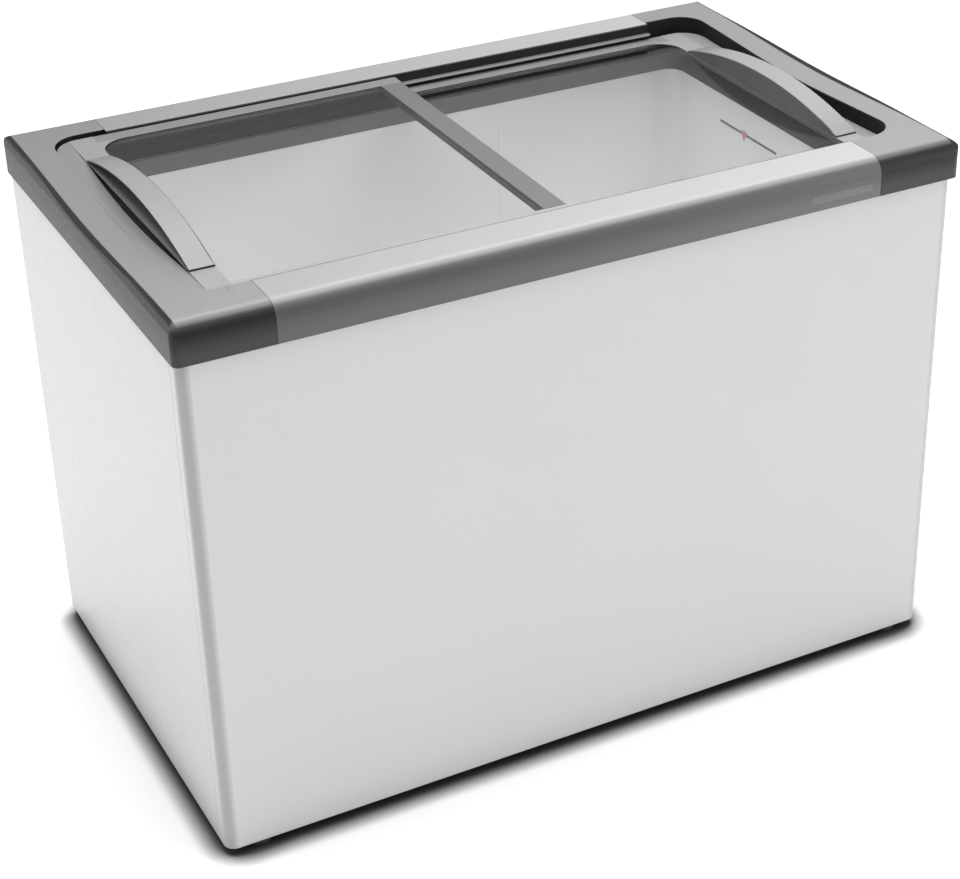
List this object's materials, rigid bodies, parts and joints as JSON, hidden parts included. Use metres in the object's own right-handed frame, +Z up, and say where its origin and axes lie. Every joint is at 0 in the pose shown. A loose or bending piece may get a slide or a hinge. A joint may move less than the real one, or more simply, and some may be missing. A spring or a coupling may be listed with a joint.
{
  "type": "chest freezer",
  "caption": "White chest freezer with a grey top frame and overlapping flat glass lids that slide past each other on two levels.",
  "frame": {"origin": "on the floor under the middle of the top frame", "axes": "+X to the right along the length, +Y to the back, +Z up"},
  "size_m": [1.266, 0.76, 0.9214],
  "materials": {
    "white_enamel": "satin",
    "galvanised": "satin",
    "liner_white": "satin",
    "foam": "matte",
    "copper": "satin",
    "breaker_grey": "satin",
    "label_grey": "matte",
    "label_red": "matte",
    "rail_silver": "satin",
    "badge": "satin",
    "cap_grey": "satin",
    "dark_trim": "satin",
    "guide_alu": "satin",
    "pile_black": "matte",
    "zinc": "satin",
    "white_plastic": "satin",
    "rubber_grey": "matte",
    "grille_grey": "satin",
    "knob_black": "satin",
    "lamp_green": "gloss",
    "black_plastic": "satin",
    "black_rubber": "matte",
    "black_paint": "satin",
    "condenser_alu": "satin",
    "fan_alu": "satin",
    "lid_glass": "gloss",
    "lid_grey": "satin",
    "handle_grey": "satin"
  },
  "bodies": {
    "cabinet": {"front_panel": "white_enamel", "side_panel_left": "white_enamel", "side_panel_right": "white_enamel", "back_panel": "white_enamel", "base_pan": "galvanised", "inner_liner": "liner_white", "liner_seam_strip": "liner_white", "insulation_foam": "foam", "evaporator_coil": "copper", "breaker_frame": "breaker_grey", "load_line_label": "label_grey", "load_line_mark": "label_red", "front_rail": "rail_silver", "back_rail": "rail_silver", "badge_plate": "badge", "end_cap_left": "cap_grey", "end_cap_right": "cap_grey", "throat_lining_left": "dark_trim", "throat_lining_right": "dark_trim", "front_track": "dark_trim", "back_track": "dark_trim", "upper_guides": "guide_alu", "pile_seals": "pile_black", "foot_nuts": "zinc", "drain_tube": "white_plastic", "side_grille": "grille_grey", "thermostat": "grille_grey", "pilot_lamp": "lamp_green", "rear_cover": "galvanised", "cord_gland": "black_plastic", "cover_screws": "zinc", "condenser": "condenser_alu", "fan_bracket": "galvanised", "fan_motor": "black_paint", "compressor": "black_paint", "compressor_grommets": "black_rubber", "filter_drier": "copper", "discharge_tube": "copper", "liquid_tube": "copper", "suction_tube": "copper"},
    "left_lid": {"left_lid_glass": "lid_glass", "left_lid_front_bar": "lid_grey", "left_lid_back_bar": "lid_grey", "left_lid_inner_bar": "lid_grey", "left_lid_handle": "handle_grey", "left_lid_glides": "white_plastic", "overlap_brush": "pile_black"},
    "right_lid": {"right_lid_glass": "lid_glass", "right_lid_front_bar": "lid_grey", "right_lid_back_bar": "lid_grey", "right_lid_inner_bar": "lid_grey", "right_lid_handle": "handle_grey", "right_lid_glides": "white_plastic"},
    "thermostat_knob": {"thermostat_knob": "knob_black"},
    "fan": {"fan_blade": "fan_alu"},
    "drain_plug": {"drain_plug": "rubber_grey"},
    "foot_front_left": {"foot_front_left": "black_plastic"},
    "foot_front_right": {"foot_front_right": "black_plastic"},
    "foot_back_left": {"foot_back_left": "black_plastic"},
    "foot_back_right": {"foot_back_right": "black_plastic"}
  },
  "joints": [
    {"name": "left_lid_slide", "type": "slide", "parent": "cabinet", "child": "left_lid", "axis": [1, 0, 0], "range_m": [0, 0.5]},
    {"name": "right_lid_slide", "type": "slide", "parent": "cabinet", "child": "right_lid", "axis": [1, 0, 0], "range_m": [-0.5, 0]},
    {"name": "thermostat_knob_turn", "type": "hinge", "parent": "cabinet", "child": "thermostat_knob", "pos_m": [0.622, -0.12, 0.25], "axis": [1, 0, 0], "range_deg": [0, 270]},
    {"name": "condenser_fan_spin", "type": "hinge", "parent": "cabinet", "child": "fan", "pos_m": [0.512, -0.19, 0.128], "axis": [1, 0, 0], "continuous": true},
    {"name": "drain_plug_pull", "type": "slide", "parent": "cabinet", "child": "drain_plug", "axis": [0, 0, 1], "range_m": [0, 0.04]},
    {"name": "foot_front_left_turn", "type": "hinge", "parent": "cabinet", "child": "foot_front_left", "pos_m": [-0.572, -0.345, 0.02], "axis": [0, 0, 1], "continuous": true},
    {"name": "foot_front_right_turn", "type": "hinge", "parent": "cabinet", "child": "foot_front_right", "pos_m": [0.572, -0.345, 0.02], "axis": [0, 0, 1], "continuous": true},
    {"name": "foot_back_left_turn", "type": "hinge", "parent": "cabinet", "child": "foot_back_left", "pos_m": [-0.572, 0.345, 0.02], "axis": [0, 0, 1], "continuous": true},
    {"name": "foot_back_right_turn", "type": "hinge", "parent": "cabinet", "child": "foot_back_right", "pos_m": [0.572, 0.345, 0.02], "axis": [0, 0, 1], "continuous": true}
  ]
}
